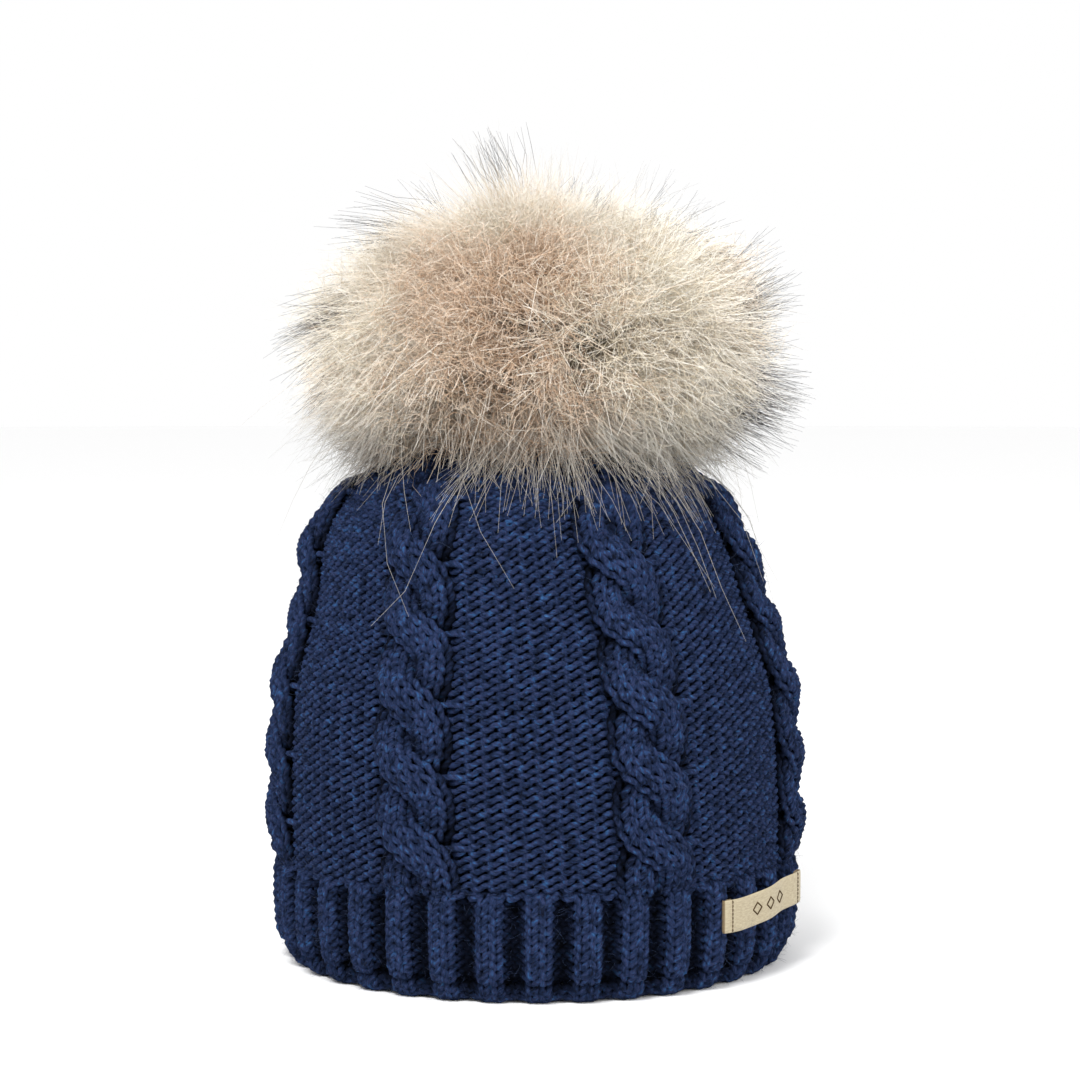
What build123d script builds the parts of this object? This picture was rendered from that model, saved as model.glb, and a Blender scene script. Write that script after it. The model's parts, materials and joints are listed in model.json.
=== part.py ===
from build123d import *
import math
import os

# A knitted cable beanie with a fur pom on a press stud. Millimetres, +Z up, origin at the centre of the
# rim's rest plane. The front is -Y. An azimuth is in degrees from the front, positive towards +X.

# Knitting
CABLES = 7
RIBS_PER_CABLE = 5
RIBS = CABLES * RIBS_PER_CABLE
FIRST_CABLE = -26.1
RIM_RADIUS = 81.0
BRIM_RADIUS = 86.0
BODY_RADIUS = 83.4
BRIM_HEIGHT = 32.0
BODY_Z = BRIM_HEIGHT + 3
YOKE_Z = 120.0
CROWN_Z = 168.0
CROWN_FLAT_RADIUS = 16.0
KNIT_THICKNESS = 4.0
GROOVE_DEPTH = 1.4
GROOVE_WIDTH = 5.6
CABLE_RISE = 4.4
CABLE_WIDTH = 24.0
CABLE_TOP_Z = 156.0
GAP = 0.05

# Lining, threads and labels
LINING_THICKNESS = 1.6
HEM_Z = 7.0
THREAD_RADIUS = 0.4
STITCH_LENGTH = 6.0
BACK_SEAM_AZIMUTH = FIRST_CABLE + 3.5 * 360 / CABLES
GATHER_RADIUS = 11.0
GATHER_THREAD_RADIUS = 0.9
LABEL_AZIMUTHS = (42.5, 74.5)
LABEL_BOTTOM_Z = 19.6
LABEL_HEIGHT = 10.6
LABEL_THICKNESS = 0.8
CARE_LABEL_SIZE = (26.0, 0.5, 36.0)
CARE_LABEL_Y = 74.6
CARE_LABEL_TOP_Z = 61.0

# Press stud
BARREL_RADIUS = 2.05
CAP_RADIUS = 7.5
CAP_THICKNESS = 1.2
FELT_RADIUS = 13.0
FELT_THICKNESS = 1.5
SOCKET_RADIUS = 7.5
SOCKET_HEIGHT = 4.2
SOCKET_PLATE = 0.8
SOCKET_CAVITY_RADIUS = 5.0
SOCKET_MOUTH_RADIUS = 3.4
RING_RADIUS = 4.1
RING_WIRE_RADIUS = 0.45
STUD_HEAD_RADIUS = 3.0
STUD_NECK_RADIUS = 2.5
STUD_FLANGE_Z = CROWN_Z + SOCKET_HEIGHT + 0.8
STUD_FLANGE_THICKNESS = 0.8

# Pom. It rocks about a pivot in the middle of its base disc, so its underside rises away from the crown.
PIVOT_Z = 175.0
DISC_RADIUS = 20.0
DISC_THICKNESS = 1.5
DISC_RISE = math.tan(math.radians(12))
DISC_HOLE_RADIUS = 2.5
RIVET_RADIUS = 2.0
RIVET_HEAD_RADIUS = 5.5
RIVET_HEAD_Z = 178.0
RIVET_HEAD_THICKNESS = 1.2
PELT_THICKNESS = 1.6
FUR_RADIUS = 88.5
FUR_TOP_Z = 264.0

# Outlines as (radius, height)
BRIM_OUTLINE = [(RIM_RADIUS, 0), (84.3, HEM_Z), (85.8, 17), (BRIM_RADIUS, BRIM_HEIGHT)]
BODY_OUTLINE = [
    (BODY_RADIUS, BODY_Z),
    (BODY_RADIUS, 64),
    (81.4, 91),
    (74.4, 114),
    (68.6, 137),
    (59.5, 153),
    (50.0, 160.5),
    (34.0, 166),
    (CROWN_FLAT_RADIUS, CROWN_Z),
]
PELT_OUTLINE = [(21.0, 180.3), (30.5, 187.5), (36.0, 203), (31.0, 221), (17.0, 231.5), (0, 235)]
FUR_OUTLINE = [(0, FUR_TOP_Z), (35, 259), (66, 241), (83, 215), (FUR_RADIUS, 192), (85, 172), (80, 158)]
FUR_UNDERSIDE = [(80, 158), (75, 160), (62, 172), (24, 178)]


def around(part, azimuth):
    """The part, built at the front, turned to an azimuth."""
    return Rot(0, 0, azimuth) * part


def inwards(points, distance):
    """An outline that runs up from the rim, moved towards the inside of the hat."""
    moved = []
    for i, (r, z) in enumerate(points):
        r0, z0 = points[max(i - 1, 0)]
        r1, z1 = points[min(i + 1, len(points) - 1)]
        length = math.hypot(r1 - r0, z1 - z0)
        moved.append((r - distance * (z1 - z0) / length, z + distance * (r1 - r0) / length))
    return moved


def radius_at(points, z):
    """The radius of an outline at a height, along straight runs between its points."""
    runs = list(zip(points, points[1:]))
    (r0, z0), (r1, z1) = next((run for run in runs if z <= run[1][1]), runs[-1])
    return r0 + (r1 - r0) * (z - z0) / (z1 - z0)


def revolved(*lines):
    """The solid of a closed outline turned about Z."""
    edges = [edge for line in lines for edge in line.edges()]
    return revolve(Plane.XZ * make_face(edges), Axis.Z)


def inside_hat(depth, low_z):
    """All that lies deeper in the hat than a depth under its outside, and above a height."""
    brim, body = inwards(BRIM_OUTLINE, depth), inwards(BODY_OUTLINE, depth)
    body[-1] = (CROWN_FLAT_RADIUS, CROWN_Z - depth)
    start = (radius_at(brim, low_z), low_z)
    brim = [point for point in brim if point[1] > low_z + 1]
    return revolved(
        Spline(start, *brim),
        Line(brim[-1], body[0]),
        Spline(*body, tangents=[(0, 1), (-1, 0)]),
        Polyline(body[-1], (0, CROWN_Z - depth), (0, low_z), start),
    )


def crown_hole():
    """The hole that the press stud's barrel takes through the fabrics."""
    return Pos(0, 0, CROWN_Z) * Cylinder(BARREL_RADIUS + GAP, 30)


def cable_ridges():
    """Seven raised bands up the body, narrower towards the crown."""
    low = BODY_OUTLINE[:-2]
    base, top = inwards(low, 0.6), inwards(low, -CABLE_RISE)
    top[0], top[-1] = (BODY_RADIUS + CABLE_RISE / 2, top[0][1]), inwards(low, -1.0)[-1]
    band = revolved(Spline(*base), Line(base[-1], top[-1]), Spline(*top[::-1]), Line(top[0], base[0]))
    half, shoulder_z = CABLE_WIDTH / 2, 110
    front = Plane.XZ * Polygon(
        (-half, BRIM_HEIGHT), (half, BRIM_HEIGHT), (half, shoulder_z), (half / 2, CABLE_TOP_Z + 10),
        (-half / 2, CABLE_TOP_Z + 10), (-half, shoulder_z), align=None,
    )
    bar = extrude(front, 2 * BRIM_RADIUS)
    ridge = band & bar
    return [around(ridge, FIRST_CABLE + k * 360 / CABLES) for k in range(CABLES)]


def rib_grooves():
    """The recessed purl gutters between the brim's ribs."""
    inner = inwards(BRIM_OUTLINE, GROOVE_DEPTH)
    inner[0] = (inner[0][0], -1)
    inner[-1] = (inner[-1][0], BRIM_HEIGHT - 1)
    far = BRIM_RADIUS + 5
    band = revolved(
        Spline(*inner),
        Line(inner[-1], (far, inner[-1][1])),
        Line((far, inner[-1][1]), (far, -1)),
        Line((far, -1), inner[0]),
    )
    bar = Pos(0, -BRIM_RADIUS, BRIM_HEIGHT / 2) * Box(GROOVE_WIDTH, 40, 3 * BRIM_HEIGHT)
    groove = band & bar
    return [around(groove, FIRST_CABLE + k * 360 / RIBS) for k in range(RIBS)]


def between(low_z, high_z):
    """A block round the hat between two heights."""
    side = 4 * BRIM_RADIUS
    return Pos(0, 0, (low_z + high_z) / 2) * Box(side, side, high_z - low_z)


def rib_brim():
    """The ribbed brim, the first rows of the knitting."""
    ring = (inside_hat(0, 0) & between(0, BODY_Z)) - inside_hat(KNIT_THICKNESS, -1)
    return ring - rib_grooves()


def cable_body():
    """The straight part of the knitting, with its cables."""
    tube = (inside_hat(0, 0) + cable_ridges()) & between(BODY_Z, YOKE_Z)
    return tube - inside_hat(KNIT_THICKNESS, -1)


def gathered_crown():
    """The narrowing top of the knitting, drawn together round the press stud."""
    cap = (inside_hat(0, 0) + cable_ridges()) & between(YOKE_Z, 2 * CROWN_Z)
    return cap - inside_hat(KNIT_THICKNESS, -1) - crown_hole()


def fleece_lining():
    """The lining cap, sewn in along the hem line."""
    cap = inside_hat(KNIT_THICKNESS, -1) - inside_hat(KNIT_THICKNESS + LINING_THICKNESS, -1)
    return cap - between(-BRIM_HEIGHT, HEM_Z) - crown_hole()


def stitch(length):
    """A straight thread stitch with round ends, along X."""
    rod = Rot(0, 90, 0) * Cylinder(THREAD_RADIUS, length - 2 * THREAD_RADIUS)
    half = length / 2 - THREAD_RADIUS
    return rod + Pos(half, 0, 0) * Sphere(THREAD_RADIUS) + Pos(-half, 0, 0) * Sphere(THREAD_RADIUS)


def lining_seam_thread():
    """One stitch under each rib, along the lining's lower edge."""
    z = HEM_Z + 2
    radius = radius_at(BRIM_OUTLINE, z) - KNIT_THICKNESS - LINING_THICKNESS - THREAD_RADIUS - 0.5
    one = Pos(0, -radius, z) * stitch(STITCH_LENGTH)
    return [around(one, FIRST_CABLE + (k + 0.5) * 360 / RIBS) for k in range(RIBS)]


def back_seam_thread():
    """Ladder stitches up the outside of the back, in the ground between two cables."""
    spacing = 1.4 * STITCH_LENGTH
    low_z, high_z = BRIM_HEIGHT + 8, 140
    stitches = []
    for k in range(int((high_z - low_z) / spacing) + 1):
        z = low_z + k * spacing
        slope = (radius_at(BODY_OUTLINE, z + 2) - radius_at(BODY_OUTLINE, z - 2)) / 4
        radius = radius_at(BODY_OUTLINE, z) + THREAD_RADIUS + 0.9
        upright = Rot(math.degrees(math.atan(slope)), 0, 0) * (Rot(0, 90, 0) * stitch(STITCH_LENGTH))
        stitches.append(around(Pos(0, -radius, z) * upright, BACK_SEAM_AZIMUTH))
    return stitches


def crown_gather_thread():
    """The thread that draws the last stitches together."""
    return Pos(0, 0, CROWN_Z + GATHER_THREAD_RADIUS + GAP) * Torus(GATHER_RADIUS, GATHER_THREAD_RADIUS)


def side_label():
    """A curved ribbon label that lies on the brim's ribs."""
    first, last = LABEL_AZIMUTHS
    section = Plane.XZ * Pos(BRIM_RADIUS + 0.2 + LABEL_THICKNESS / 2, LABEL_BOTTOM_Z + LABEL_HEIGHT / 2) * (
        Rectangle(LABEL_THICKNESS, LABEL_HEIGHT)
    )
    return Rot(0, 0, first - 90) * revolve(section, Axis.Z, last - first)


def side_label_stitches():
    """Two upright rows of short stitches, one near each end of the label."""
    radius = BRIM_RADIUS + 0.2 + LABEL_THICKNESS + THREAD_RADIUS + GAP
    per_row, inset = 4, 2.2
    upright = Rot(0, 90, 0) * stitch(1.9)
    rows = [LABEL_AZIMUTHS[0] + inset, LABEL_AZIMUTHS[1] - inset]
    pitch = LABEL_HEIGHT / per_row
    return [
        around(Pos(0, -radius, LABEL_BOTTOM_Z + (k + 0.5) * pitch) * upright, azimuth)
        for azimuth in rows
        for k in range(per_row)
    ]


def care_label():
    """A thin flap that hangs inside the back from its sewn top edge."""
    width, thickness, height = CARE_LABEL_SIZE
    return Pos(0, CARE_LABEL_Y, CARE_LABEL_TOP_Z - height / 2) * Box(width, thickness, height)


def care_label_stitches():
    """Stitches just above the care label's edge."""
    z = CARE_LABEL_TOP_Z + THREAD_RADIUS + 0.4
    count, pitch = 5, 5.0
    return [Pos((k - (count - 1) / 2) * pitch, CARE_LABEL_Y, z) * stitch(3.2) for k in range(count)]


def lining_crown_z():
    """The height of the lining's inner face at the crown."""
    return CROWN_Z - KNIT_THICKNESS - GAP - LINING_THICKNESS


def crown_felt_disc():
    """A felt washer under the lining's crown."""
    z = lining_crown_z() - GAP - FELT_THICKNESS / 2
    return Pos(0, 0, z) * (Cylinder(FELT_RADIUS, FELT_THICKNESS) - Cylinder(BARREL_RADIUS + GAP, 5))


def snap_cap():
    """The rivet cap inside the crown, with its barrel up through the fabrics, rolled over in the socket."""
    top = lining_crown_z() - 2 * GAP - FELT_THICKNESS
    cap = Pos(0, 0, top - CAP_THICKNESS / 2) * Cylinder(CAP_RADIUS, CAP_THICKNESS)
    cap = fillet(cap.faces().sort_by(Axis.Z)[0].edges(), CAP_THICKNESS / 2)
    roll_z = CROWN_Z + GAP + SOCKET_PLATE + GAP
    barrel = Pos(0, 0, (top + roll_z) / 2) * Cylinder(BARREL_RADIUS, roll_z - top)
    roll = Pos(0, 0, roll_z + 0.15) * Cylinder(BARREL_RADIUS + 0.8, 0.3)
    return cap + barrel + roll


def snap_socket():
    """The socket on top of the crown: a plate, a wall and an inturned mouth round the spring ring's groove."""
    z = CROWN_Z + GAP
    top, hole = z + SOCKET_HEIGHT, BARREL_RADIUS + GAP
    wall = SOCKET_RADIUS - 1.2
    return revolved(
        Polyline(
            (hole, z), (SOCKET_RADIUS, z), (SOCKET_RADIUS, z + SOCKET_PLATE), (wall, z + 1.8),
            (wall, top - 0.5), (wall - 0.6, top), (SOCKET_MOUTH_RADIUS, top),
            (SOCKET_MOUTH_RADIUS, top - 0.6), (SOCKET_CAVITY_RADIUS, top - 0.6),
            (SOCKET_CAVITY_RADIUS, z + SOCKET_PLATE), (hole, z + SOCKET_PLATE), (hole, z),
        )
    )


def socket_spring_ring():
    """A split wire ring that grips the stud."""
    z = CROWN_Z + SOCKET_HEIGHT - 1.3
    split = Pos(RING_RADIUS, 0, z) * Box(3, 1.6, 3)
    return Pos(0, 0, z) * Torus(RING_RADIUS, RING_WIRE_RADIUS) - split


def snap_stud():
    """The stud: flange, neck and rounded head."""
    head_top = CROWN_Z + SOCKET_HEIGHT - 1.6
    head_bottom = CROWN_Z + SOCKET_PLATE + 0.8
    flange_top = STUD_FLANGE_Z + STUD_FLANGE_THICKNESS
    return revolved(
        Polyline(
            (0, head_bottom), (STUD_NECK_RADIUS, head_bottom), (STUD_HEAD_RADIUS, head_bottom + 0.5),
            (STUD_HEAD_RADIUS, head_top - 0.4), (STUD_NECK_RADIUS, head_top),
            (STUD_NECK_RADIUS, STUD_FLANGE_Z), (SOCKET_RADIUS, STUD_FLANGE_Z), (SOCKET_RADIUS, flange_top),
            (0, flange_top), (0, head_bottom),
        )
    )


def stud_rivet():
    """The rivet from the stud up through the base disc, with room for the disc to rock."""
    low = STUD_FLANGE_Z + STUD_FLANGE_THICKNESS
    shank = Pos(0, 0, (low + RIVET_HEAD_Z) / 2) * Cylinder(RIVET_RADIUS, RIVET_HEAD_Z - low)
    head = Pos(0, 0, RIVET_HEAD_Z + RIVET_HEAD_THICKNESS / 2) * Cylinder(RIVET_HEAD_RADIUS, RIVET_HEAD_THICKNESS)
    head = fillet(head.faces().sort_by(Axis.Z)[-1].edges(), RIVET_HEAD_THICKNESS / 2)
    return shank + head


def disc_underside(radius):
    """The height of the dished base disc's underside at a radius."""
    return PIVOT_Z - 0.9 + radius * DISC_RISE


def pom_base_disc():
    """The dished disc in the pom's underside."""
    low_in, low_out = disc_underside(DISC_HOLE_RADIUS), disc_underside(DISC_RADIUS)
    return revolved(
        Polyline(
            (DISC_HOLE_RADIUS, low_in), (DISC_RADIUS, low_out), (DISC_RADIUS, low_out + DISC_THICKNESS),
            (DISC_HOLE_RADIUS, low_in + DISC_THICKNESS), (DISC_HOLE_RADIUS, low_in),
        )
    )


def inside_pelt(depth):
    """All that lies deeper in the pom than a depth under the pelt's outside."""
    points = inwards(PELT_OUTLINE, depth)
    mouth = (PELT_OUTLINE[0][0] - depth, PELT_OUTLINE[0][1])
    top = (0, PELT_OUTLINE[-1][1] - depth)
    return revolved(
        Spline(mouth, *points[1:-1], top, tangents=[(1, 0.3), (-1, 0)]),
        Polyline(top, (0, mouth[1]), mouth),
    )


def pom_pelt():
    """The leather side of the fur, a ball open at its drawn mouth."""
    return inside_pelt(0) - inside_pelt(PELT_THICKNESS)


def pom_filling():
    """Wadding that fills the pelt and leaves a hollow over the rivet's head."""
    low_z = PELT_OUTLINE[0][1]
    hollow = Pos(0, 0, low_z) * Cylinder(9, 2 * (185 - low_z))
    return inside_pelt(PELT_THICKNESS) - hollow


def pom_drawstring():
    """The cord round the pelt's mouth."""
    return Pos(0, 0, 178.9) * Torus(DISC_RADIUS + 2, 0.8)


def pom_fur():
    """The outer body of the fur round the pelt, open under the drawn mouth."""
    mouth_radius, mouth_z = FUR_UNDERSIDE[-1]
    body = revolved(
        Spline(*FUR_OUTLINE, tangents=[(1, 0), (-0.3, -1)]),
        Polyline(*FUR_UNDERSIDE, (0, mouth_z), FUR_OUTLINE[0]),
    )
    mouth = Pos(0, 0, mouth_z) * Cylinder(mouth_radius, 12)
    return body - inside_pelt(0) - mouth


PARTS = [
    rib_brim,
    cable_body,
    gathered_crown,
    fleece_lining,
    lining_seam_thread,
    back_seam_thread,
    crown_gather_thread,
    side_label,
    side_label_stitches,
    care_label,
    care_label_stitches,
    crown_felt_disc,
    snap_cap,
    snap_socket,
    socket_spring_ring,
    snap_stud,
    stud_rivet,
    pom_base_disc,
    pom_pelt,
    pom_filling,
    pom_drawstring,
    pom_fur,
]


def write(make):
    """Builds a sub-part and writes it under its function's name."""
    made = make()
    pieces = made if isinstance(made, list) else [made]
    solids = [solid for piece in pieces for solid in piece.solids()]
    export_step(solids[0] if len(solids) == 1 else Compound(solids), f"parts/{make.__name__}.step")


os.makedirs("parts", exist_ok=True)
for make in PARTS:
    write(make)
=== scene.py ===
"""The looks of a cable-knit beanie with a fur pom on a press stud, built round its CAD frame.

Lengths are in metres. The front is -Y. An angle round the hat is in radians from the front, positive
towards +X. The knitting is laid in courses of yarn on a surface of revolution: a place on it is an angle,
a distance s up the meridian from the rim, and a height n out of the fabric's middle.
"""

import json
import math

import bpy
import numpy as np
from mathutils import Matrix, Vector


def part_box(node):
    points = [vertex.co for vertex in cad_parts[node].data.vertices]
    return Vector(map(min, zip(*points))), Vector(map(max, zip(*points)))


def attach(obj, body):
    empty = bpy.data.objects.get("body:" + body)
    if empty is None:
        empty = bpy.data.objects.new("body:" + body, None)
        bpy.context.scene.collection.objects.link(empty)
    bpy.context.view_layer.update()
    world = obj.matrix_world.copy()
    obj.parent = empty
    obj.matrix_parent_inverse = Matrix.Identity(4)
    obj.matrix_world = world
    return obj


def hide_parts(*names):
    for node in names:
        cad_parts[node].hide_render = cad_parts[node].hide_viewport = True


bpy.ops.wm.read_factory_settings(use_empty=True)

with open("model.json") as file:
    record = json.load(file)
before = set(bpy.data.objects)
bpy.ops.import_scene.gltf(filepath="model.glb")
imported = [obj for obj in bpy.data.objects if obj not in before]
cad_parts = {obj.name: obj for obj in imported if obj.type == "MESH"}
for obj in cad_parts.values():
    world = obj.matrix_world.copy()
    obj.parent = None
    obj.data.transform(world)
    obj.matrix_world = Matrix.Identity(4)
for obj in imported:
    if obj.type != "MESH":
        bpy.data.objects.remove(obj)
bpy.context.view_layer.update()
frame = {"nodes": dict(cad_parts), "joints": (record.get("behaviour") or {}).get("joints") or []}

MM = 0.001
TAU = 2 * math.pi
NODES = frame["nodes"]

# ---------------------------------------------------------------- numbers that the knitting is made from
# Stitches round the hat. A repeat is a cable and the ground beside it, and has a whole number of ribs
REPEATS = 7
REPEAT_STITCHES = 20
STITCHES = REPEATS * REPEAT_STITCHES
CABLE_HALF = 3
RIBS_PER_REPEAT = 5
GROUND_STITCHES = 8.7
FIRST_CABLE = math.radians(-26.1)
# How far the stitches lean round the hat at the brim, how much more further up, and over what height
TWIST = (math.radians(1.2), math.radians(-3.3), 80 * MM)

# Rows up the hat
ROW = 2.68 * MM
CAST_ON_S = 1.88 * MM
LOWEST_S = 2.6 * MM
FIRST_ROW_S = 3.3 * MM
BRIM_ROWS = 12
BRIM_S = FIRST_ROW_S + (BRIM_ROWS - 0.5) * ROW
BODY_ROWS = 49
CABLE_ROWS = 48

# Yarn and its stitches
SEGMENTS = 12
YARN_SIDES = 6
YARN_RADIUS = 1.08 * MM
PURL_YARN_RADIUS = 0.98 * MM
LOOP_HALF_HEIGHT = 0.78 * ROW
LOOP_DEPTH = 0.85 * MM
LOOP_LEAN = 0.26
PURL_DEPTH = 1.15 * MM
PURL_LEAN = 0.19
PURL_SLANT = 0.35 * MM
TUCK_DEPTH = 1.3 * MM
PLIES = 3.0

# The brim: how far its ribs stand out, the share of that at the rim, and the crease of the hem
RIB_RELIEF = 2.5 * MM
RIM_RELIEF = 0.25
# painted shade: how much deeper than it stands the brim's yarn is shaded, which darkens the whole brim
RIB_SHADE = 0.9 * MM
PURL_SHARE = 0.45
CREASE_S = 7.2 * MM
CREASE_SPREAD = 1.3 * MM
CREASE_DEPTH = 1.9 * MM
# painted shade: how much deeper the yarn in the hem's crease is shaded, which darkens it
CREASE_SHADE = 0.8 * MM

# The cables: their width at the hat's full radius, their crossings, and how far they stand out
CABLE_WIDTH = 26 * MM
FULL_RADIUS = 81 * MM
CROSS_ROWS = 8
FIRST_CROSS_ROW = 5.5
CROSS_HASTE = 0.5
CABLE_BASE = 2.0 * MM
CABLE_SWING = 2.3 * MM
CABLE_BULGE = 1.8 * MM

# The soft lean of the hat to its left at the shoulder
SHOULDER_Z = 142 * MM
SHOULDER_SPREAD = 19 * MM
SHOULDER_SAG = 2.2 * MM

# The crown's stitches, its pleats and the hole round the press stud
CROWN_PITCH = 3.3 * MM
CROWN_HOLE = 9 * MM
PLEAT_DEPTH = 1.3 * MM

LINING_DEPTH = 4.5 * MM
LINING_THICKNESS = 1.4 * MM

# The ribbon label's ends, how much higher its far end is, and how far that end springs away
LABEL_ANGLES = (math.radians(42.5), math.radians(73.0))
LABEL_TILT = 2.6 * MM
LABEL_SPRING = 1.9 * MM

# The middle of the knitted fabric, as radius and height in millimetres from rim to crown
MERIDIAN = [
    (77.2, 0), (80.4, 7), (81.8, 17), (82.0, 28), (81.6, 37), (81.4, 64), (79.4, 91), (72.6, 114),
    (67.0, 137), (58.6, 151.5), (49.4, 158.6), (34.0, 163.6), (16.0, 165.6), (4.0, 165.9),
]


# ---------------------------------------------------------------- small helpers
def smooth_path(points, steps=24):
    """Points along a Catmull-Rom spline through the given ones."""
    p = np.array(points, float)
    p = np.vstack([2 * p[0] - p[1], p, 2 * p[-1] - p[-2]])
    t = np.linspace(0, 1, steps, endpoint=False)[:, None]
    spans = [
        0.5 * (2 * b + (c - a) * t + (2 * a - 5 * b + 4 * c - d) * t**2 + (3 * b - a - 3 * c + d) * t**3)
        for a, b, c, d in zip(p, p[1:], p[2:], p[3:])
    ]
    return np.vstack([*spans, p[-2][None]])


def smoothstep(x):
    x = np.clip(x, 0, 1)
    return x * x * (3 - 2 * x)


def unit(v):
    return v / np.maximum(np.linalg.norm(v, axis=-1, keepdims=True), 1e-12)


profile = smooth_path(MERIDIAN) * MM
profile_s = np.concatenate([[0], np.cumsum(np.linalg.norm(np.diff(profile, axis=0), axis=1))])
profile_tangent = unit(np.gradient(profile, profile_s, axis=0))
FULL_S = profile_s[-1]


def radius_at(s):
    return np.interp(s, profile_s, profile[:, 0]) + np.minimum(s, 0) * profile_tangent[0, 0]


def height_at(s):
    return np.interp(s, profile_s, profile[:, 1]) + np.minimum(s, 0) * profile_tangent[0, 1]


def tangent_at(s):
    """The meridian's direction, along the radius and up."""
    return [np.interp(s, profile_s, profile_tangent[:, i]) for i in (0, 1)]


def normal_at(angle, s):
    """The outward normal of the fabric."""
    dr, dz = tangent_at(s)
    return unit(np.stack([dz * np.sin(angle), -dz * np.cos(angle), -dr], -1))


def place(angle, s, n):
    """The point at an angle, a distance up the meridian and a height out of the fabric."""
    dr, dz = tangent_at(s)
    r = radius_at(s) + n * dz
    z = height_at(s) - n * dr + 0 * angle
    sag = SHOULDER_SAG * np.exp(-(((z - SHOULDER_Z) / SHOULDER_SPREAD) ** 2))
    return np.stack([r * np.sin(angle) - sag, -r * np.cos(angle), z], -1)


def new_object(name, vertices, faces, body, material, uv=None, floats=None):
    """A mesh object of quads or triangles, riding on a body."""
    mesh = bpy.data.meshes.new(name)
    vertices, faces = np.asarray(vertices, np.float32), np.asarray(faces, np.int32)
    corners = faces.shape[1]
    mesh.vertices.add(len(vertices))
    mesh.vertices.foreach_set("co", vertices.ravel())
    mesh.loops.add(faces.size)
    mesh.loops.foreach_set("vertex_index", faces.ravel())
    mesh.polygons.add(len(faces))
    mesh.polygons.foreach_set("loop_start", np.arange(len(faces), dtype=np.int32) * corners)
    mesh.polygons.foreach_set("use_smooth", np.ones(len(faces), bool))
    mesh.update(calc_edges=True)
    if uv is not None:
        layer = mesh.uv_layers.new(name="along")
        layer.data.foreach_set("uv", np.asarray(uv, np.float32).ravel())
    for key, values in (floats or {}).items():
        layer = mesh.attributes.new(key, "FLOAT", "POINT")
        layer.data.foreach_set("value", np.asarray(values, np.float32))
    mesh.materials.append(material)
    ob = bpy.data.objects.new(name, mesh)
    bpy.context.scene.collection.objects.link(ob)
    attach(ob, body)
    return ob


def grid_quads(rows, columns, closed=False):
    """Quads of a grid of points that closes round its columns, and round its rows too where closed."""
    i, j = np.meshgrid(np.arange(rows if closed else rows - 1), np.arange(columns), indexing="ij")
    k, l = (i + 1) % rows, (j + 1) % columns
    corners = [i * columns + j, i * columns + l, k * columns + l, k * columns + j]
    return np.stack(corners, -1).reshape(-1, 4)


def side_angles(sides):
    """The angles round a tube, from its inside. The sine says how far out of the fabric a side is."""
    return -math.pi / 2 + TAU * np.arange(sides) / sides


def tubes(paths, normals, radius, sides, closed=False):
    """Round tubes along rows of points, as (vertices, quads, uv). u is the length along, in millimetres."""
    count, steps = paths.shape[:2]
    if closed:
        tangent = np.roll(paths, -1, 1) - np.roll(paths, 1, 1)
    else:
        tangent = np.gradient(paths, axis=1)
    tangent = unit(tangent)
    out = unit(normals - (normals * tangent).sum(-1, keepdims=True) * tangent)
    across = np.cross(tangent, out)
    turn = side_angles(sides)
    radius = np.broadcast_to(radius, paths.shape[:2])[..., None, None]
    ring = np.cos(turn)[:, None] * across[:, :, None] + np.sin(turn)[:, None] * out[:, :, None]
    vertices = (paths[:, :, None] + radius * ring).reshape(-1, 3)
    lengths = np.linalg.norm(np.diff(paths, axis=1, append=paths[:, :1]), axis=-1)
    u = np.concatenate([np.zeros((count, 1)), np.cumsum(lengths, 1)], 1) / MM
    spans = steps if closed else steps - 1
    tube, step, side = np.meshgrid(np.arange(count), np.arange(spans), np.arange(sides), indexing="ij")
    corners = [(step, side), (step, side + 1), (step + 1, side + 1), (step + 1, side)]
    quads = np.stack([(tube * steps + a % steps) * sides + b % sides for a, b in corners], -1)
    uv = np.stack([np.stack([u[tube, a], b / sides], -1) for a, b in corners], 3)
    return vertices, quads.reshape(-1, 4), uv.reshape(-1, 2)


def joined(parts):
    """Several results of tubes() or yarn() as one."""
    offsets = np.cumsum([0] + [len(p[0]) for p in parts[:-1]])
    vertices, quads, *rest = zip(*parts)
    quads = [q + o for q, o in zip(quads, offsets)]
    return tuple(np.concatenate(values) for values in (vertices, quads, *rest))


fuzz_places = []


def yarn(angle, s, n, radius, closed=False, level=None):
    """Yarn along places in the fabric, as tubes() gives it, and a height in mm at each point for the
    painted shade.

    That height is how far the point stands out. level stands for n there, where the fabric as a whole
    stands out or its painted shade is set deeper. The yarn's outside is kept in fuzz_places, for its
    fuzz to stand on.
    """
    paths, normals = place(angle, s, n), normal_at(angle, s)
    fuzz_places.append(np.stack([paths + normals * radius, normals], -2).reshape(-1, 2, 3))
    level = n if level is None else level
    # painted shade: each point's height out of the fabric, which the yarn's material turns into painted
    # shade
    painted_shade_height = level[..., None] + radius * np.sin(side_angles(YARN_SIDES))
    return (*tubes(paths, normals, radius, YARN_SIDES, closed), painted_shade_height.ravel() / MM)


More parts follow.
